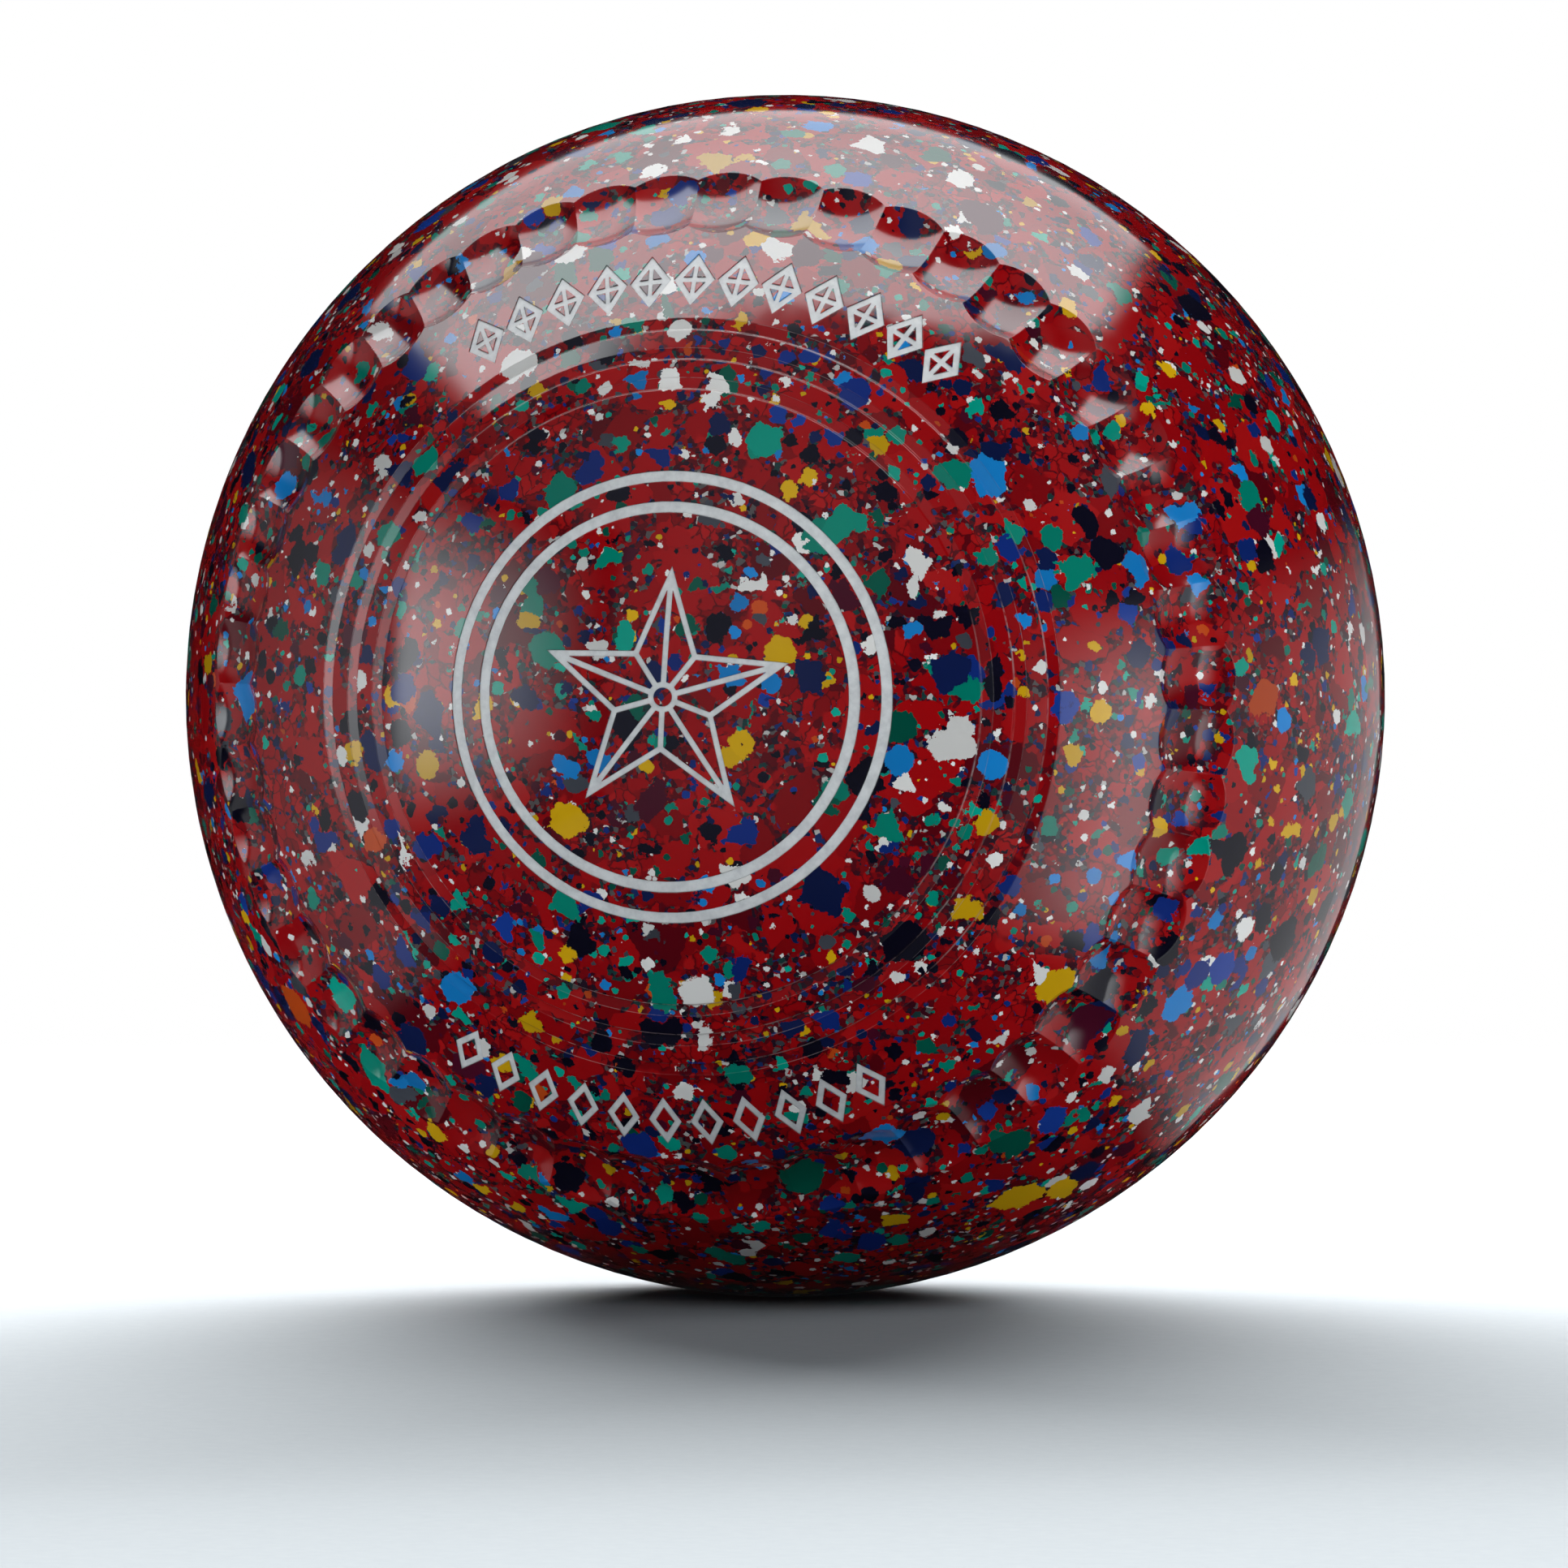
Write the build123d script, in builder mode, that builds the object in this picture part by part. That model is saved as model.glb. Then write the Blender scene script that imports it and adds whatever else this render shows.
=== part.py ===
from build123d import *
import math
import os

# Lawn bowl: one solid resin body, turned to a squat ball, with a ring of grip hollows
# on each face and engraved marks filled with enamel.
# The rolling axis lies along Y, the fully marked face looks towards -Y and +Z is up.
# The origin is the centre of the ball. All sizes are in millimetres and degrees.

# Rolling body: crown, shoulder and face arcs run into one another without a break
DIAMETER = 125.0
CROWN_HALF_ANGLE = 5.3
SHOULDER_RADIUS = 47.0
FACE_RADIUS = 70.0

# Shallow grooves turned into each face. The floor falls from a small lip at the outer edge
# to its full depth at the inner edge, where a steep wall climbs back to the face.
GROOVE_COUNT = 3
FIRST_GROOVE_RADIUS = 30.40
GROOVE_PITCH = 3.0
GROOVE_WIDTH = 1.22
GROOVE_DEPTH = 0.33
GROOVE_WALL_WIDTH = 0.12
GROOVE_LIP_WIDTH = 0.04
GROOVE_LIP_DEPTH = 0.05

# Grip hollows: a ring of overlapping ball cuts, from the rim of the face out over the shoulder
GRIP_COUNT = 50
GRIP_BALL_RADIUS = 8.5
GRIP_INNER_RADIUS = 46.4
GRIP_OUTER_LATITUDE = 37.3
GRIP_RIDGE_CLOCK = 2.0

# Engraving
ENGRAVING_DEPTH = 0.50
ENAMEL_SINK = 0.08
CUTTER_CLEARANCE = 2.0

# Enamel rings as (inner radius, outer radius)
FRONT_OUTER_RING = (21.24, 22.31)
FRONT_INNER_RING = (18.17, 19.27)
BACK_OUTER_RING = (14.30, 15.30)
BACK_INNER_RING = (11.60, 12.55)

# Star emblem
STAR_POINTS = 5
FRONT_STAR_RADIUS = 12.9
BACK_STAR_RADIUS = 9.2
STAR_WAIST_RATIO = 0.42
STAR_LINE = 0.58
STAR_HUB_RADIUS = 1.5

# Rows of marks, placed by clock angle from the top
UPPER_ROW_RADIUS = 41.55
UPPER_MARK_HEIGHT = 5.3
UPPER_MARK_WIDTH = 4.2
UPPER_MARK_LINE = 0.60
UPPER_MARK_CROSS = 0.50
UPPER_ROW_START = -34.1
UPPER_ROW_PITCH = 6.2
UPPER_ROW_COUNT = 12
LOWER_ROW_RADIUS = 42.4
LOWER_MARK_HEIGHT = 4.85
LOWER_MARK_WIDTH = 3.4
LOWER_MARK_LINE = 0.62
LOWER_ROW_START = 152.1
LOWER_ROW_PITCH = 5.82
LOWER_ROW_COUNT = 11

RADIUS = DIAMETER / 2
FRONT = -1
BACK = 1
RINGS = {
    "outer_ring_front": (FRONT, FRONT_OUTER_RING),
    "inner_ring_front": (FRONT, FRONT_INNER_RING),
    "outer_ring_back": (BACK, BACK_OUTER_RING),
    "inner_ring_back": (BACK, BACK_INNER_RING),
}

shoulder_reach = (RADIUS - SHOULDER_RADIUS) * math.cos(math.radians(CROWN_HALF_ANGLE))
shoulder_rise = (RADIUS - SHOULDER_RADIUS) * math.sin(math.radians(CROWN_HALF_ANGLE))
face_set_back = math.sqrt((FACE_RADIUS - SHOULDER_RADIUS) ** 2 - shoulder_reach ** 2) - shoulder_rise
face_latitude = math.degrees(math.atan2(face_set_back + shoulder_rise, shoulder_reach))


def face_point(radius, depth=0.0):
    """Point on the section of the -Y face, sunk below it by depth."""
    height = math.sqrt(FACE_RADIUS ** 2 - radius ** 2) - face_set_back
    return (radius, -(height - depth))


def shoulder_point(latitude):
    """Point on the section of the -Y shoulder at a latitude above the equator."""
    turn = math.radians(latitude)
    reach = shoulder_reach + SHOULDER_RADIUS * math.cos(turn)
    return (reach, -(shoulder_rise + SHOULDER_RADIUS * math.sin(turn)))


def grip_ball_middle():
    """Reach and height of the middle of a ball that meets the body at both ends of a grip hollow."""
    inner = Vector(*face_point(GRIP_INNER_RADIUS))
    outer = Vector(*shoulder_point(GRIP_OUTER_LATITUDE))
    chord = outer - inner
    lift = math.sqrt(GRIP_BALL_RADIUS ** 2 - (chord.length / 2) ** 2)
    middle = (inner + outer) / 2 + chord.rotate(Axis.Z, -90).normalized() * lift
    return middle.X, -middle.Y


def face_plane(side):
    """Plane through the centre of the ball that looks out of one face."""
    return Plane.XZ if side == FRONT else -Plane.XZ


def ring_section(side, ring, top, bottom):
    """Corners of the section of a ring between two depths below one face."""
    corners = [face_point(ring[0], top), face_point(ring[0], bottom)]
    corners += [face_point(ring[1], bottom), face_point(ring[1], top)]
    return [(reach, -side * height) for reach, height in corners]


def star(radius):
    """Outlined star with a line from a small hub to every corner."""
    waist = radius * STAR_WAIST_RATIO
    half_step = math.radians(180 / STAR_POINTS)
    corners = []
    for index in range(2 * STAR_POINTS):
        reach = radius if index % 2 == 0 else waist
        turn = math.radians(90) + index * half_step
        corners.append((reach * math.cos(turn), reach * math.sin(turn)))
    hub_middle = STAR_HUB_RADIUS - STAR_LINE / 2
    long_spoke = radius - 2 * STAR_LINE - hub_middle
    short_spoke = waist - STAR_LINE / 2 - hub_middle
    with BuildSketch() as drawing:
        Polygon(*corners, align=None)
        offset(amount=-STAR_LINE, kind=Kind.INTERSECTION, mode=Mode.SUBTRACT)
        with PolarLocations(hub_middle + long_spoke / 2, STAR_POINTS, start_angle=90):
            Rectangle(long_spoke, STAR_LINE)
        with PolarLocations(hub_middle + short_spoke / 2, STAR_POINTS, start_angle=90 + 180 / STAR_POINTS):
            Rectangle(short_spoke, STAR_LINE)
        Circle(STAR_HUB_RADIUS)
        Circle(STAR_HUB_RADIUS - STAR_LINE, mode=Mode.SUBTRACT)
    return drawing.sketch


def quartered_lozenge(clock):
    """Hollow lozenge with a cross inside, standing outwards at a clock angle."""
    tall = UPPER_MARK_HEIGHT / 2
    wide = UPPER_MARK_WIDTH / 2
    with BuildSketch() as drawing:
        with PolarLocations(UPPER_ROW_RADIUS, 1, start_angle=90 - clock):
            Polygon((tall, 0), (0, wide), (-tall, 0), (0, -wide), align=None)
        offset(amount=-UPPER_MARK_LINE, kind=Kind.INTERSECTION, mode=Mode.SUBTRACT)
        with PolarLocations(UPPER_ROW_RADIUS, 1, start_angle=90 - clock):
            Rectangle(UPPER_MARK_HEIGHT - 2 * UPPER_MARK_LINE, UPPER_MARK_CROSS)
            Rectangle(UPPER_MARK_CROSS, UPPER_MARK_WIDTH - 2 * UPPER_MARK_LINE)
    return drawing.sketch


def lozenge(clock):
    """Hollow lozenge of the lower row, standing outwards at a clock angle."""
    tall = LOWER_MARK_HEIGHT / 2
    wide = LOWER_MARK_WIDTH / 2
    with BuildSketch() as drawing:
        with PolarLocations(LOWER_ROW_RADIUS, 1, start_angle=90 - clock):
            Polygon((tall, 0), (0, wide), (-tall, 0), (0, -wide), align=None)
        offset(amount=-LOWER_MARK_LINE, kind=Kind.INTERSECTION, mode=Mode.SUBTRACT)
    return drawing.sketch


def upper_clocks():
    """Clock angles of the upper row."""
    return [UPPER_ROW_START + UPPER_ROW_PITCH * index for index in range(UPPER_ROW_COUNT)]


def lower_clocks():
    """Clock angles of the lower row."""
    return [LOWER_ROW_START + LOWER_ROW_PITCH * index for index in range(LOWER_ROW_COUNT)]


def engraving(side, drawings):
    """Cutter for engraved lines whose floor follows the face."""
    with BuildPart() as cutter:
        with BuildSketch(face_plane(side)):
            for drawing in drawings:
                add(drawing)
        extrude(amount=RADIUS)
        with Locations((0, -side * face_set_back, 0)):
            Sphere(FACE_RADIUS - ENGRAVING_DEPTH, mode=Mode.SUBTRACT)
    return cutter.part


def enamel(side, drawing):
    """Enamel that fills one engraved drawing to just under the face."""
    with BuildPart() as fill:
        with BuildSketch(face_plane(side)):
            add(drawing)
        extrude(amount=RADIUS)
        with Locations((0, -side * face_set_back, 0)):
            Sphere(FACE_RADIUS - ENAMEL_SINK, mode=Mode.INTERSECT)
            Sphere(FACE_RADIUS - ENGRAVING_DEPTH, mode=Mode.SUBTRACT)
    return fill.part


def enamel_ring(side, ring):
    """Enamel that fills one engraved ring to just under the face."""
    with BuildPart() as fill:
        with BuildSketch(Plane.XY):
            Polygon(*ring_section(side, ring, ENAMEL_SINK, ENGRAVING_DEPTH), align=None)
        revolve(axis=Axis.Y)
    return fill.part


def body(front_cutter, back_cutter):
    """Whole resin moulding, turned, with grips and engraving."""
    with BuildPart() as bowl:
        # Half of the ball
        with BuildSketch(Plane.XY):
            with BuildLine():
                face = CenterArc((0, face_set_back), FACE_RADIUS, -90, 90 - face_latitude)
                CenterArc(
                    (shoulder_reach, -shoulder_rise),
                    SHOULDER_RADIUS,
                    -face_latitude,
                    face_latitude - CROWN_HALF_ANGLE,
                )
                CenterArc((0, 0), RADIUS, -CROWN_HALF_ANGLE, CROWN_HALF_ANGLE)
                Polyline((RADIUS, 0), (0, 0), face @ 0)
            make_face()
        revolve(axis=Axis.Y)

        # Grooves
        for index in range(GROOVE_COUNT):
            inner = FIRST_GROOVE_RADIUS + GROOVE_PITCH * index
            outer = inner + GROOVE_WIDTH
            with BuildSketch(Plane.XY):
                Polygon(
                    face_point(inner, -CUTTER_CLEARANCE),
                    face_point(inner),
                    face_point(inner + GROOVE_WALL_WIDTH, GROOVE_DEPTH),
                    face_point(outer - GROOVE_LIP_WIDTH, GROOVE_LIP_DEPTH),
                    face_point(outer),
                    face_point(outer, -CUTTER_CLEARANCE),
                    align=None,
                )
            revolve(axis=Axis.Y, mode=Mode.SUBTRACT)

        # Grip hollows
        grip_reach, grip_height = grip_ball_middle()
        with Locations(Plane.XZ.offset(grip_height)):
            with PolarLocations(grip_reach, GRIP_COUNT, start_angle=90 - GRIP_RIDGE_CLOCK - 180 / GRIP_COUNT):
                Sphere(GRIP_BALL_RADIUS, mode=Mode.SUBTRACT)

        mirror(about=Plane.XZ)

        # Engraved lines
        add(front_cutter, mode=Mode.SUBTRACT)
        add(back_cutter, mode=Mode.SUBTRACT)
        for side, ring in RINGS.values():
            with BuildSketch(Plane.XY):
                Polygon(*ring_section(side, ring, -CUTTER_CLEARANCE, ENGRAVING_DEPTH), align=None)
            revolve(axis=Axis.Y, mode=Mode.SUBTRACT)
    return bowl.part


def export(part, name):
    """Write one piece as one named node."""
    part.label = name
    export_step(part, f"parts/{name}.step")


os.makedirs("parts", exist_ok=True)

front_star = star(FRONT_STAR_RADIUS)
back_star = star(BACK_STAR_RADIUS)
upper_row = [quartered_lozenge(clock) for clock in upper_clocks()]
lower_row = [lozenge(clock) for clock in lower_clocks()]

front_cutter = engraving(FRONT, [front_star] + upper_row + lower_row)
back_cutter = engraving(BACK, [back_star])
export(body(front_cutter, back_cutter), "bowl_body")

for name, (side, ring) in RINGS.items():
    export(enamel_ring(side, ring), name)
export(enamel(FRONT, front_star), "star_front")
export(enamel(BACK, back_star), "star_back")
for number, drawing in enumerate(upper_row, start=1):
    export(enamel(FRONT, drawing), f"upper_mark_{number:02d}")
for number, drawing in enumerate(lower_row, start=1):
    export(enamel(FRONT, drawing), f"lower_mark_{number:02d}")
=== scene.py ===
import math

import bpy
from mathutils import Matrix, Vector


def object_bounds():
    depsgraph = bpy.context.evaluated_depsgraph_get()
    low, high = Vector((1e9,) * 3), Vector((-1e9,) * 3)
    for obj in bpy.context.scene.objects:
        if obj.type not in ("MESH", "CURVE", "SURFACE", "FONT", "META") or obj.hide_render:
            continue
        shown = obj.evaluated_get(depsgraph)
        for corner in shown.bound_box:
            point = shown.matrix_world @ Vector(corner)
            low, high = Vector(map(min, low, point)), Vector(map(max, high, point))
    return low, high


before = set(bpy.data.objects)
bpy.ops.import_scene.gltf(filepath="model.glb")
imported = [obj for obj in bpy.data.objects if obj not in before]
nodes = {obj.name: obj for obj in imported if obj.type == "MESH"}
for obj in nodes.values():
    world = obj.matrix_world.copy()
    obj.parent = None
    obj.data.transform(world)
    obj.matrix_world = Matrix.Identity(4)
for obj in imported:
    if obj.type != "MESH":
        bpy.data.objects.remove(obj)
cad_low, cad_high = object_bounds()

scene = bpy.context.scene


# ---------------------------------------------------------------------------
# Resin body. One lump of hard resin, pressed in a mould from coloured granules,
# so the speckle runs right through it. It is then turned, cut and polished.

MM = 0.001


def add_node(tree, kind, **settings):
    """A shader node with its properties and its inputs set by name."""
    made = tree.nodes.new("ShaderNode" + kind)
    inputs = settings.pop("inputs", {})
    for key, value in settings.items():
        setattr(made, key, value)
    for key, value in inputs.items():
        if isinstance(value, bpy.types.NodeSocket):
            tree.links.new(value, made.inputs[key])
        else:
            made.inputs[key].default_value = value
    return made


def arithmetic(tree, operation, *values):
    """Output of a Math node fed with sockets or numbers."""
    return add_node(tree, "Math", operation=operation, inputs=dict(enumerate(values))).outputs[0]


def vector_arithmetic(tree, operation, first, second):
    """Output of a Vector Math node fed with sockets or vectors."""
    return add_node(tree, "VectorMath", operation=operation, inputs={0: first, 1: second}).outputs[0]


def blend_colour(tree, share, under, over):
    """Colour that goes from under to over as share goes from 0 to 1."""
    return add_node(tree, "Mix", data_type="RGBA", inputs={0: share, 6: under, 7: over}).outputs[2]


def soft_step(tree, value, low, high):
    """0 below low, 1 above high and smooth between them."""
    settings = {"Value": value, "From Min": low, "From Max": high}
    return add_node(tree, "MapRange", interpolation_type="SMOOTHSTEP", inputs=settings).outputs["Result"]


def colour_table(tree, factor, stops, mode="CONSTANT"):
    """Colour Ramp with the given (position, colour) stops."""
    made = tree.nodes.new("ShaderNodeValToRGB")
    made.color_ramp.interpolation = mode
    elements = made.color_ramp.elements
    elements.remove(elements[1])
    for index, (position, colour) in enumerate(stops):
        element = elements[0] if index == 0 else elements.new(position)
        element.position = position
        element.color = (*colour, 1.0)
    tree.links.new(factor, made.inputs[0])
    return made.outputs[0]


def length_of(tree, vector):
    """Length of a vector."""
    return add_node(tree, "VectorMath", operation="LENGTH", inputs={0: vector}).outputs["Value"]


def noise_value(tree, place, scale, detail, roughness=0.5):
    """Value of a Noise node, which stays mostly between 0.3 and 0.7."""
    inputs = {"Vector": place, "Scale": scale, "Detail": detail, "Roughness": roughness}
    return add_node(tree, "TexNoise", inputs=inputs).outputs["Fac"]


def blank_material(name):
    """New material, its emptied node tree and the output node in it."""
    material = bpy.data.materials.new(name)
    material.use_nodes = True
    material.node_tree.nodes.clear()
    return material, material.node_tree, material.node_tree.nodes.new("ShaderNodeOutputMaterial")


def shifted_by_noise(tree, place, scale, push, detail=2.0):
    """Place moved about by noise, so that what is drawn at it gets ragged edges."""
    inputs = {"Vector": place, "Scale": scale, "Detail": detail, "Roughness": 0.62}
    noise = add_node(tree, "TexNoise", inputs=inputs)
    wander = vector_arithmetic(tree, "SUBTRACT", noise.outputs["Color"], (0.5, 0.5, 0.5))
    wander = vector_arithmetic(tree, "MULTIPLY", wander, push)
    return vector_arithmetic(tree, "ADD", place, wander)


# one layer of flakes: some cells of a ragged honeycomb, each cut down to its own size.
# The softness and the raggedness are shares of a cell.
FLAKE_EDGE = 0.03
RAGS_PER_CELL = 2.6
TINT_SCRAMBLE = 37.7
speckle = bpy.data.node_groups.new("speckle_layer", "ShaderNodeTree")
for name in ("Place", "Offset"):
    speckle.interface.new_socket(name, in_out="INPUT", socket_type="NodeSocketVector")
for name in ("Cell mm", "Share", "Smallest", "Largest", "Raggedness"):
    speckle.interface.new_socket(name, in_out="INPUT", socket_type="NodeSocketFloat")
for name in ("Mask", "Pick", "Tint"):
    speckle.interface.new_socket(name, in_out="OUTPUT", socket_type="NodeSocketFloat")
tree = speckle
entry = tree.nodes.new("NodeGroupInput")
result = tree.nodes.new("NodeGroupOutput")
cells_per_metre = arithmetic(tree, "DIVIDE", 1.0 / MM, entry.outputs["Cell mm"])
place = vector_arithmetic(tree, "MULTIPLY", entry.outputs["Place"], cells_per_metre)
place = vector_arithmetic(tree, "ADD", place, entry.outputs["Offset"])
place = shifted_by_noise(tree, place, RAGS_PER_CELL, entry.outputs["Raggedness"], detail=4.0)
cells = add_node(tree, "TexVoronoi", feature="F1", inputs={"Vector": place, "Scale": 1.0})
random = add_node(tree, "SeparateColor", inputs={0: cells.outputs["Color"]})
chosen = arithmetic(tree, "LESS_THAN", random.outputs[0], entry.outputs["Share"])
spread = arithmetic(tree, "SUBTRACT", entry.outputs["Largest"], entry.outputs["Smallest"])
reach = arithmetic(tree, "MULTIPLY_ADD", random.outputs[2], spread, entry.outputs["Smallest"])
inside = soft_step(tree, arithmetic(tree, "SUBTRACT", reach, cells.outputs["Distance"]), 0.0, FLAKE_EDGE)
tree.links.new(arithmetic(tree, "MULTIPLY", chosen, inside), result.inputs["Mask"])
tree.links.new(random.outputs[1], result.inputs["Pick"])
tint = arithmetic(tree, "FRACT", arithmetic(tree, "MULTIPLY", random.outputs[2], TINT_SCRAMBLE))
tree.links.new(tint, result.inputs["Tint"])

resin, tree, out = blank_material("speckled_resin")
shader = tree.nodes.new("ShaderNodeBsdfPrincipled")
tree.links.new(shader.outputs[0], out.inputs[0])
place = add_node(tree, "TexCoord").outputs["Object"]

# red granules, large and small, with thin dark seams. Scales are cells to the metre.
MAROON = (0.10, 0.002, 0.005, 1.0)
RED_STOPS = (
    (0.00, (0.400, 0.0030, 0.0050)),
    (0.34, (0.340, 0.0020, 0.0045)),
    (0.60, (0.450, 0.0060, 0.0070)),
    (0.78, (0.240, 0.0020, 0.0045)),
    (0.92, (0.110, 0.0015, 0.0060)),
)


def granules(tree, where, scale, seam_low, seam_high):
    """Colour of packed red granules and how far each point is from their seams."""
    grain = add_node(tree, "TexVoronoi", feature="F1", inputs={"Vector": where, "Scale": scale})
    seam = {"Vector": where, "Scale": scale}
    edge = add_node(tree, "TexVoronoi", feature="DISTANCE_TO_EDGE", inputs=seam)
    pick = add_node(tree, "SeparateColor", inputs={0: grain.outputs["Color"]}).outputs[0]
    away = soft_step(tree, edge.outputs["Distance"], seam_low, seam_high)
    return blend_colour(tree, away, MAROON, colour_table(tree, pick, RED_STOPS)), edge.outputs["Distance"]


GRANULE_PUSH = (3.0 * MM, 3.0 * MM, 3.0 * MM)
red_place = shifted_by_noise(tree, place, scale=300.0, push=GRANULE_PUSH, detail=3.0)
colour, large_edge = granules(tree, red_place, scale=210.0, seam_low=-0.04, seam_high=0.02)
small_reds, small_edge = granules(tree, red_place, scale=640.0, seam_low=0.00, seam_high=0.09)
zone = noise_value(tree, place, scale=95.0, detail=3.0, roughness=0.55)
small_share = soft_step(tree, zone, low=0.505, high=0.525)
colour = blend_colour(tree, small_share, colour, small_reds)

# crumbs of every colour packed along the seams, wider where the gap noise is high
CRUMB_STOPS = (
    (0.00, (0.230, 0.0030, 0.0060)),
    (0.24, (0.110, 0.0030, 0.0080)),
    (0.44, (0.050, 0.0040, 0.0110)),
    (0.58, (0.022, 0.0090, 0.0200)),
    (0.68, (0.330, 0.0050, 0.0070)),
    (0.78, (0.012, 0.0450, 0.0450)),
    (0.85, (0.010, 0.0280, 0.1300)),
    (0.91, (0.100, 0.0900, 0.0900)),
    (0.965, (0.550, 0.5300, 0.5100)),
)
CRUMB_PUSH = (0.8 * MM, 0.8 * MM, 0.8 * MM)
LARGE_SEAM_WIDTH = 0.17
SMALL_SEAM_WIDTH = 0.36
crumb_place = shifted_by_noise(tree, place, scale=900.0, push=CRUMB_PUSH)
crumbs = add_node(tree, "TexVoronoi", feature="F1", inputs={"Vector": crumb_place, "Scale": 1900.0})
crumb_pick = add_node(tree, "SeparateColor", inputs={0: crumbs.outputs["Color"]}).outputs[0]
crumb_colours = colour_table(tree, crumb_pick, CRUMB_STOPS)
gap = soft_step(tree, noise_value(tree, place, scale=330.0, detail=2.0), low=0.40, high=0.68)
near_large = arithmetic(tree, "SUBTRACT", arithmetic(tree, "MULTIPLY", gap, LARGE_SEAM_WIDTH), large_edge)
near_small = arithmetic(tree, "SUBTRACT", arithmetic(tree, "MULTIPLY", gap, SMALL_SEAM_WIDTH), small_edge)
near_small = arithmetic(tree, "MULTIPLY", near_small, small_share)
near = soft_step(tree, arithmetic(tree, "MAXIMUM", near_large, near_small), low=0.0, high=0.02)
colour = blend_colour(tree, near, colour, crumb_colours)

# coloured flakes, from grains up to the largest, each a little lighter or darker than its kind
BONE = (0.90, 0.88, 0.85, 1.0)
FLAKE_STOPS = (
    (0.00, (0.0045, 0.0040, 0.0130)),
    (0.21, (0.0000, 0.2500, 0.1750)),
    (0.32, (0.0060, 0.0260, 0.2000)),
    (0.40, (0.0050, 0.0120, 0.0700)),
    (0.52, (0.0000, 0.0950, 0.0620)),
    (0.58, (0.0080, 0.2350, 0.6500)),
    (0.635, (0.7400, 0.4200, 0.0040)),
    (0.710, (0.8800, 0.8600, 0.8300)),
    (0.800, (0.0620, 0.0680, 0.0850)),
    (0.835, (0.0000, 0.3800, 0.2750)),
    (0.905, (0.0080, 0.0440, 0.3000)),
    (0.935, (0.0700, 0.0040, 0.0180)),
    (0.985, (0.6000, 0.0750, 0.0080)),
)
DARKEST_TINT = 0.78
TINT_RANGE = 0.40
for label, cell, share, smallest, largest, raggedness, offset in (
    ("grains", 0.62, 0.09, 0.30, 0.80, 0.55, (21.7, 4.6, 13.2)),
    ("slivers", 1.15, 0.12, 0.30, 0.90, 0.60, (15.2, 9.4, 3.7)),
    ("white bits", 0.80, 0.035, 0.15, 0.55, 0.80, (2.9, 33.1, 17.5)),
    ("small flakes", 1.9, 0.14, 0.34, 1.00, 0.62, (5.5, 19.1, 8.4)),
    ("middle flakes", 3.0, 0.12, 0.40, 1.00, 0.60, (11.4, 2.2, 5.9)),
    ("large flakes", 4.0, 0.055, 0.40, 0.90, 0.58, (3.1, 7.7, 1.3)),
):
    layer = add_node(
        tree,
        "Group",
        node_tree=speckle,
        label=label,
        inputs={
            "Place": place,
            "Offset": offset,
            "Cell mm": cell,
            "Share": share,
            "Smallest": smallest,
            "Largest": largest,
            "Raggedness": raggedness,
        },
    )
    if label == "white bits":
        flake = BONE
    else:
        flake = colour_table(tree, layer.outputs["Pick"], FLAKE_STOPS)
        shade = arithmetic(tree, "MULTIPLY_ADD", layer.outputs["Tint"], TINT_RANGE, DARKEST_TINT)
        flake = vector_arithmetic(tree, "MULTIPLY", flake, shade)
    colour = blend_colour(tree, layer.outputs["Mask"], colour, flake)

# how far below the turned shape a point lies, for the hollows that the polishing wheel misses
CROWN_HALF_ANGLE = math.radians(5.3)
SHOULDER_RADIUS = 47.0 * MM
HOLLOWS_START = 46.3 * MM
shoulder_reach = (cad_high.x - SHOULDER_RADIUS) * math.cos(CROWN_HALF_ANGLE)
shoulder_rise = (cad_high.x - SHOULDER_RADIUS) * math.sin(CROWN_HALF_ANGLE)
parts = add_node(tree, "SeparateXYZ", inputs={0: place})
flat = add_node(tree, "CombineXYZ", inputs={0: parts.outputs[0], 1: parts.outputs[2]})
axle_distance = length_of(tree, flat.outputs[0])
reach = arithmetic(tree, "SUBTRACT", axle_distance, shoulder_reach)
height = arithmetic(tree, "SUBTRACT", arithmetic(tree, "ABSOLUTE", parts.outputs[1]), shoulder_rise)
section = add_node(tree, "CombineXYZ", inputs={0: reach, 1: height})
depth = arithmetic(tree, "SUBTRACT", SHOULDER_RADIUS, length_of(tree, section.outputs[0]))
sunk = soft_step(tree, depth, low=0.1 * MM, high=0.6 * MM)
sunk = arithmetic(tree, "MULTIPLY", sunk, arithmetic(tree, "GREATER_THAN", axle_distance, HOLLOWS_START))

# painted highlight: pale glint lines painted into the colour along the corners of the turned grooves,
# broken up by noise
GROOVE_PITCH = 3.0 * MM
GROOVES_MIDDLE = 33.9 * MM
GROOVES_HALF_WIDTH = 3.9 * MM
INNER_CORNER = (30.46 * MM, 0.065 * MM, 0.55)
OUTER_CORNER = (31.60 * MM, 0.045 * MM, 0.30)
PAINTED_GLINT_COLOUR = (0.60, 0.44, 0.44, 1.0)
glint_lines = None
for corner, half_width, strength in (INNER_CORNER, OUTER_CORNER):
    from_corner = arithmetic(tree, "SUBTRACT", axle_distance, corner)
    across = arithmetic(tree, "PINGPONG", from_corner, GROOVE_PITCH / 2)
    line = arithmetic(tree, "SUBTRACT", 1.0, soft_step(tree, across, half_width * 0.5, half_width))
    line = arithmetic(tree, "MULTIPLY", line, strength)
    glint_lines = line if glint_lines is None else arithmetic(tree, "MAXIMUM", glint_lines, line)
in_band = arithmetic(tree, "COMPARE", axle_distance, GROOVES_MIDDLE, GROOVES_HALF_WIDTH)
broken = soft_step(tree, noise_value(tree, place, scale=1400.0, detail=3.0), low=0.30, high=0.55)
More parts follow.
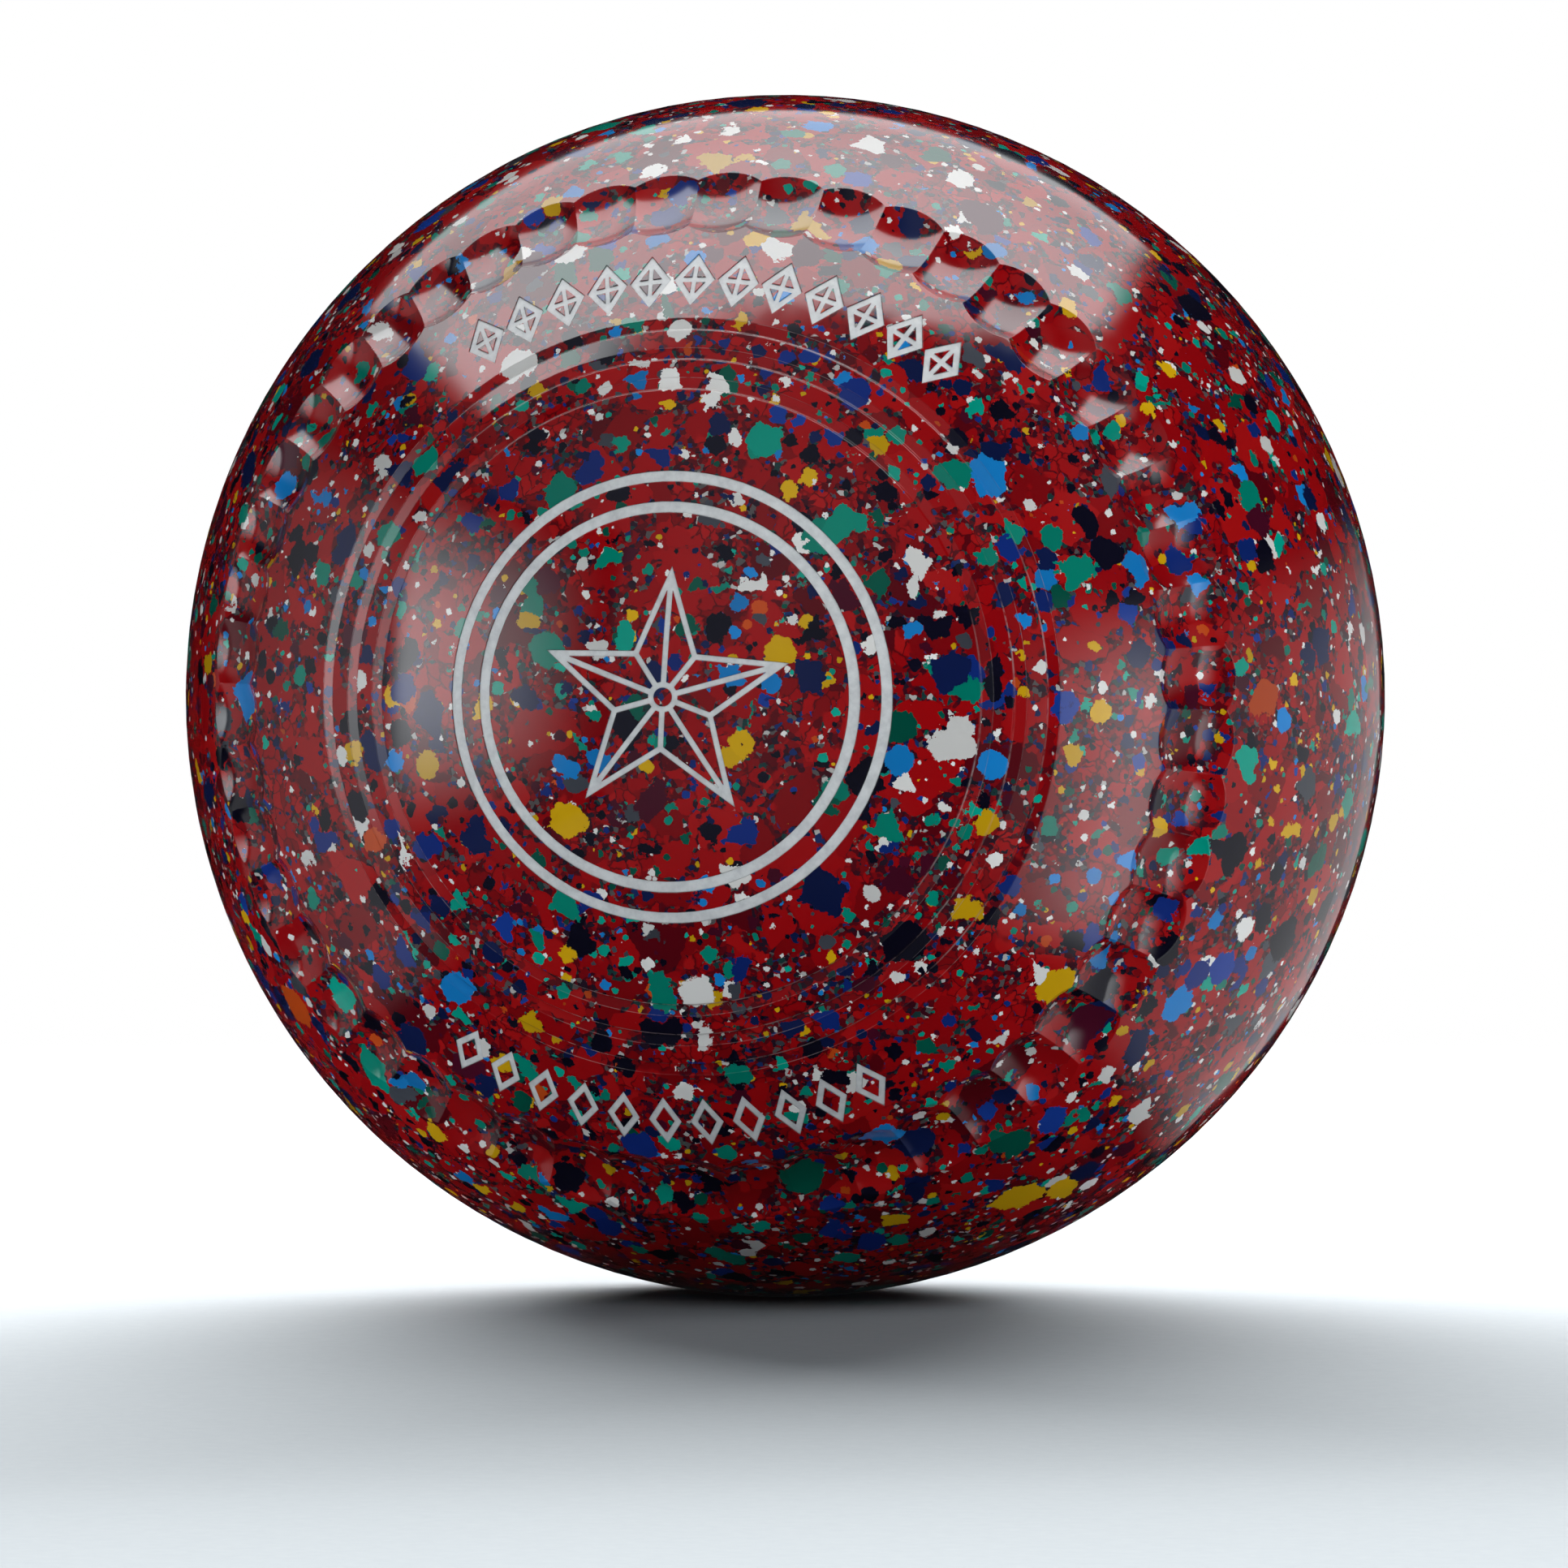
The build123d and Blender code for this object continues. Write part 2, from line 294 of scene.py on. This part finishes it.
patchy = soft_step(tree, noise_value(tree, place, scale=70.0, detail=2.0), low=0.38, high=0.62)
glint_breakup = arithmetic(tree, "MULTIPLY", broken, patchy)
glint_lines = arithmetic(tree, "MULTIPLY", glint_lines, arithmetic(tree, "MULTIPLY", in_band, glint_breakup))
# painted highlight: the pale glint colour laid into the base colour along the groove corners
colour = blend_colour(tree, glint_lines, colour, PAINTED_GLINT_COLOUR)
tree.links.new(colour, shader.inputs["Base Color"])

# polish: smudges, hollows a little duller, and the faint waviness of a hand-held wheel
CLEAN_POLISH = 0.07
SMUDGE_ADDS = 0.06
HOLLOW_ADDS = 0.03
GLINT_LINE_ROUGHNESS = 0.30
GRAIN_SHARE = 0.05
smudge = noise_value(tree, place, scale=38.0, detail=4.0, roughness=0.6)
smudge = soft_step(tree, smudge, low=0.35, high=0.70)
roughness = arithmetic(tree, "MULTIPLY_ADD", smudge, SMUDGE_ADDS, CLEAN_POLISH)
roughness = arithmetic(tree, "MULTIPLY_ADD", sunk, HOLLOW_ADDS, roughness)
roughness = arithmetic(tree, "MULTIPLY_ADD", glint_lines, GLINT_LINE_ROUGHNESS, roughness)
tree.links.new(roughness, shader.inputs["Roughness"])
shader.inputs["IOR"].default_value = 1.56
waves = noise_value(tree, place, scale=110.0, detail=1.0)
grain = noise_value(tree, place, scale=2600.0, detail=2.0)
relief = arithmetic(tree, "MULTIPLY_ADD", grain, GRAIN_SHARE, waves)
worn_edges = add_node(tree, "Bevel", samples=4, inputs={"Radius": 0.14 * MM})
bump = add_node(
    tree,
    "Bump",
    inputs={"Height": relief, "Strength": 0.10, "Distance": 0.02 * MM, "Normal": worn_edges.outputs[0]},
)
tree.links.new(bump.outputs[0], shader.inputs["Normal"])

body = nodes["bowl_body"]
body.data.materials.clear()
body.data.materials.append(resin)


# ---------------------------------------------------------------------------
# Enamel. Pale paint wiped into every engraved line and left to set, a little
# lower than the polished face around it. Painted shade greys it where it meets the resin.

CORNER_SHADE_GREY = (0.20, 0.20, 0.21, 1.0)
LEAST_DULL = 0.28
CLOUD_DULLS = 0.25
PAINT_STOPS = (
    (0.25, (0.64, 0.65, 0.66)),
    (0.62, (0.84, 0.85, 0.85)),
)
enamel, tree, out = blank_material("set_enamel")
shader = tree.nodes.new("ShaderNodeBsdfPrincipled")
tree.links.new(shader.outputs[0], out.inputs[0])
place = add_node(tree, "TexCoord").outputs["Object"]
cloud = noise_value(tree, place, scale=900.0, detail=4.0, roughness=0.6)
paint = colour_table(tree, cloud, PAINT_STOPS, mode="LINEAR")
# painted shade: the enamel colour goes to grey where ambient occlusion finds the engraved walls close by
corner = add_node(tree, "AmbientOcclusion", samples=6, only_local=False, inputs={"Distance": 0.30 * MM})
unshaded = soft_step(tree, corner.outputs["AO"], low=0.35, high=0.92)
paint = blend_colour(tree, unshaded, CORNER_SHADE_GREY, paint)
tree.links.new(paint, shader.inputs["Base Color"])
dull = arithmetic(tree, "MULTIPLY_ADD", cloud, CLOUD_DULLS, LEAST_DULL)
tree.links.new(dull, shader.inputs["Roughness"])
pits = noise_value(tree, place, scale=2400.0, detail=3.0)
bump = add_node(tree, "Bump", inputs={"Height": pits, "Strength": 0.35, "Distance": 0.03 * MM})
tree.links.new(bump.outputs[0], shader.inputs["Normal"])
for name, node in nodes.items():
    if name != "bowl_body":
        node.data.materials.clear()
        node.data.materials.append(enamel)


# ---------------------------------------------------------------------------
# Table. A matt grey-white top, lit until it looks pale, that melts into a white surround
# a little way out, so no far edge shows behind the bowl. The bowl has rolled a touch on it,
# so the top touches the crown a few degrees round from the bowl's own lowest point.

VIEW_AZIMUTH = math.radians(12.63)
VIEW_ROLL = math.radians(3.0)
to_right = Vector((math.cos(VIEW_AZIMUTH), math.sin(VIEW_AZIMUTH), 0))
to_back = Vector((-math.sin(VIEW_AZIMUTH), math.cos(VIEW_AZIMUTH), 0))
to_top = Vector((0, 0, 1))
table_up = to_top * math.cos(VIEW_ROLL) - to_right * math.sin(VIEW_ROLL)

FLOOR_REACH = 2.5
FADE_START = 0.26
FADE_END = 0.50
DARK_FIBRE = (0.265, 0.288, 0.306, 1.0)
LIGHT_FIBRE = (0.290, 0.312, 0.330, 1.0)
bpy.ops.mesh.primitive_circle_add(vertices=96, radius=FLOOR_REACH, fill_type="NGON")
floor = bpy.context.object
floor.name = "table_top"
floor.location = table_up * cad_low.z
floor.rotation_mode = "QUATERNION"
floor.rotation_quaternion = table_up.to_track_quat("Z", "Y")
floor.visible_glossy = False
ground, tree, out = blank_material("pale_table")
place = add_node(tree, "NewGeometry").outputs["Position"]
fibre = noise_value(tree, place, scale=700.0, detail=3.0)
paper = blend_colour(tree, fibre, DARK_FIBRE, LIGHT_FIBRE)
surface = add_node(tree, "BsdfDiffuse", inputs={"Color": paper})
clear = tree.nodes.new("ShaderNodeBsdfTransparent")
away = soft_step(tree, length_of(tree, place), FADE_START, FADE_END)
mixer = add_node(tree, "MixShader", inputs={0: away})
tree.links.new(surface.outputs[0], mixer.inputs[1])
tree.links.new(clear.outputs[0], mixer.inputs[2])
tree.links.new(mixer.outputs[0], out.inputs[0])
floor.data.materials.append(ground)


# ---------------------------------------------------------------------------
# Studio. Glowing panels that only the polish mirrors: a large one overhead, two on the
# left and two on the right. Soft lamps that don't show in the polish light the matt colours,
# and a strong one from behind reaches only the table, to throw the soft shadow forwards.


PANEL_TINT = (0.96, 0.98, 1.0, 1.0)


def studio_place(right, back, up):
    """Point given by how far it is to the viewer's right, behind the bowl and above it."""
    return to_right * right + to_back * back + to_top * up


def mirrored_panel(name, corners, glow, feather, run):
    """Panel that shows only in reflections and glows in full inside its soft edges.

    feather is the width of those edges, across and up. run says how the glow changes over it:
    the axis, the share of the glow at the low end, and where the change starts and ends.
    """
    mesh = bpy.data.meshes.new(name)
    mesh.from_pydata([studio_place(*corner) for corner in corners], [], [(0, 1, 2, 3)])
    layer = mesh.uv_layers.new(name="panel")
    for loop, spot in zip(layer.data, ((0, 0), (1, 0), (1, 1), (0, 1))):
        loop.uv = spot
    panel = bpy.data.objects.new(name, mesh)
    scene.collection.objects.link(panel)
    panel.visible_camera = False
    panel.visible_diffuse = False
    panel.visible_shadow = False
    lit, tree, end = blank_material(name)
    over_panel = add_node(tree, "UVMap", uv_map="panel").outputs[0]
    where = add_node(tree, "SeparateXYZ", inputs={0: over_panel})
    axis, least, start, stop = run
    change = soft_step(tree, where.outputs[axis], start, stop)
    strength = arithmetic(tree, "MULTIPLY_ADD", change, glow * (1 - least), glow * least)
    for index, soft in enumerate(feather):
        from_middle = arithmetic(tree, "SUBTRACT", where.outputs[index], 0.5)
        off_middle = arithmetic(tree, "ABSOLUTE", from_middle)
        edge = soft_step(tree, arithmetic(tree, "SUBTRACT", 0.5, off_middle), 0.0, soft)
        strength = arithmetic(tree, "MULTIPLY", strength, edge)
    glowing = add_node(tree, "Emission", inputs={"Color": PANEL_TINT, "Strength": strength})
    tree.links.new(glowing.outputs[0], end.inputs[0])
    mesh.materials.append(lit)


mirrored_panel(
    "panel_overhead",
    ((-1.32, -0.43, 1.0), (0.78, -0.43, 1.0), (0.78, 1.47, 1.0), (-1.32, 1.47, 1.0)),
    glow=5.2,
    feather=(0.05, 0.04),
    run=(1, 0.36, 0.75, 0.15),
)
mirrored_panel(
    "panel_right_front",
    ((1.03, -0.62, -0.95), (0.60, -1.04, -0.95), (0.60, -1.04, 0.42), (1.03, -0.62, 0.42)),
    glow=3.0,
    feather=(0.02, 0.30),
    run=(0, 0.0, 1.0, 0.0),
)
mirrored_panel(
    "panel_right_wall",
    ((1.03, -0.62, -1.2), (1.0, 2.9, -1.2), (1.0, 2.9, 0.40), (1.03, -0.62, 0.40)),
    glow=0.62,
    feather=(0.02, 0.22),
    run=(0, 0.70, 0.05, 0.32),
)
mirrored_panel(
    "panel_left_front",
    ((-1.02, -0.28, -0.42), (-0.70, -0.98, -0.42), (-0.70, -0.98, 0.52), (-1.02, -0.28, 0.52)),
    glow=4.2,
    feather=(0.03, 0.42),
    run=(0, 0.0, 1.0, 0.0),
)
mirrored_panel(
    "panel_left_wall",
    ((-1.05, 1.1, -0.95), (-1.10, -0.25, -0.95), (-1.10, -0.25, 0.52), (-1.05, 1.1, 0.52)),
    glow=0.55,
    feather=(0.06, 0.12),
    run=(0, 0.24, 0.30, 0.95),
)


def soft_lamp(name, spot, width, height, watts, tint=(1.0, 1.0, 1.0)):
    """Area lamp aimed at the bowl, which lights matt colour but doesn't show in the polish."""
    lamp_data = bpy.data.lights.new(name, "AREA")
    lamp_data.shape = "RECTANGLE"
    lamp_data.size = width
    lamp_data.size_y = height
    lamp_data.energy = watts
    lamp_data.color = tint
    lamp = bpy.data.objects.new(name, lamp_data)
    scene.collection.objects.link(lamp)
    lamp.location = studio_place(*spot)
    lamp.rotation_mode = "QUATERNION"
    lamp.rotation_quaternion = (-lamp.location).to_track_quat("-Z", "Y")
    lamp.visible_glossy = False
    return lamp


BEHIND = (-0.08, 1.25, 0.74)
WARM_WHITE = (1.0, 0.99, 0.97)
COOL_WHITE = (0.92, 0.97, 1.0)
soft_lamp("lamp_behind", BEHIND, width=1.90, height=0.46, watts=11.0, tint=WARM_WHITE)
soft_lamp("lamp_above", (-0.05, 0.60, 1.04), width=1.20, height=0.60, watts=7.6)
soft_lamp("lamp_right", (0.90, -0.50, 0.80), width=0.70, height=0.60, watts=4.4)
soft_lamp("lamp_in_front", (0.0, -1.20, 0.60), width=1.20, height=0.70, watts=6.4, tint=COOL_WHITE)
table_lamp = soft_lamp("lamp_on_table", BEHIND, width=2.30, height=0.46, watts=178.0, tint=WARM_WHITE)
only_table = bpy.data.collections.new("lit_by_table_lamp")
only_table.objects.link(floor)
table_lamp.light_linking.receiver_collection = only_table


def along(tree, heading, direction):
    """How far a heading points in a direction, from -1 to 1."""
    dot = add_node(tree, "VectorMath", operation="DOT_PRODUCT", inputs={0: heading, 1: direction})
    return dot.outputs["Value"]


# Surround. White behind the bowl, a faint glow from the front left in the polish, and
# nearly dark for the matt colours.
GLIMMER_GLOW = 0.20
GLIMMER_LEAST = 0.004
GLIMMER_TINT = (0.9, 0.95, 1.0, 1.0)
DIM_TINT = (0.92, 0.96, 1.0, 1.0)
world = bpy.data.worlds.new("surround")
scene.world = world
world.use_nodes = True
tree = world.node_tree
tree.nodes.clear()
out = tree.nodes.new("ShaderNodeOutputWorld")
rays = tree.nodes.new("ShaderNodeLightPath")
heading = add_node(tree, "TexCoord").outputs["Generated"]
ahead = along(tree, heading, -to_back)
rightward = along(tree, heading, to_right)
rise = add_node(tree, "SeparateXYZ", inputs={0: heading}).outputs[2]
in_front = soft_step(tree, ahead, low=0.05, high=0.60)
on_left = arithmetic(tree, "SUBTRACT", 1.0, soft_step(tree, rightward, low=-0.20, high=0.35))
above = soft_step(tree, rise, low=-0.70, high=-0.10)
glimmer = arithmetic(tree, "MULTIPLY", arithmetic(tree, "MULTIPLY", in_front, on_left), above)
seen = add_node(tree, "Background", inputs={"Color": (1.0, 1.0, 1.0, 1.0), "Strength": 1.0})
glimmer = arithmetic(tree, "MULTIPLY_ADD", glimmer, GLIMMER_GLOW, GLIMMER_LEAST)
mirrored = add_node(tree, "Background", inputs={"Color": GLIMMER_TINT, "Strength": glimmer})
bounced = add_node(tree, "Background", inputs={"Color": DIM_TINT, "Strength": 0.03})
indirect = add_node(tree, "MixShader", inputs={0: rays.outputs["Is Diffuse Ray"]})
tree.links.new(mirrored.outputs[0], indirect.inputs[1])
tree.links.new(bounced.outputs[0], indirect.inputs[2])
choose = add_node(tree, "MixShader", inputs={0: rays.outputs["Is Camera Ray"]})
tree.links.new(indirect.outputs[0], choose.inputs[1])
tree.links.new(seen.outputs[0], choose.inputs[2])
tree.links.new(choose.outputs[0], out.inputs[0])


# ---------------------------------------------------------------------------
# Camera. It looks nearly level at the marked face from a little to its right, with a long
# lens, and is rolled to stand upright on the table.

VIEW_ELEVATION = math.radians(0.79)
VIEW_DISTANCE = 0.9
LENS = 198.3
SENSOR_WIDTH = 36.0
SHIFT_UP = -0.0562
camera_data = bpy.data.cameras.new("view")
camera = bpy.data.objects.new("view", camera_data)
scene.collection.objects.link(camera)
back = Vector(
    (
        math.sin(VIEW_AZIMUTH) * math.cos(VIEW_ELEVATION),
        -math.cos(VIEW_AZIMUTH) * math.cos(VIEW_ELEVATION),
        math.sin(VIEW_ELEVATION),
    )
)
camera.rotation_mode = "QUATERNION"
camera.location = back * VIEW_DISTANCE
roll = Matrix.Rotation(VIEW_ROLL, 4, "Z").to_quaternion()
camera.rotation_quaternion = (-back).to_track_quat("-Z", "Y") @ roll
camera_data.lens = LENS
camera_data.sensor_width = SENSOR_WIDTH
camera_data.shift_y = SHIFT_UP
camera_data.clip_start = 0.05
camera_data.clip_end = 20.0
scene.camera = camera
scene.view_settings.view_transform = "Standard"
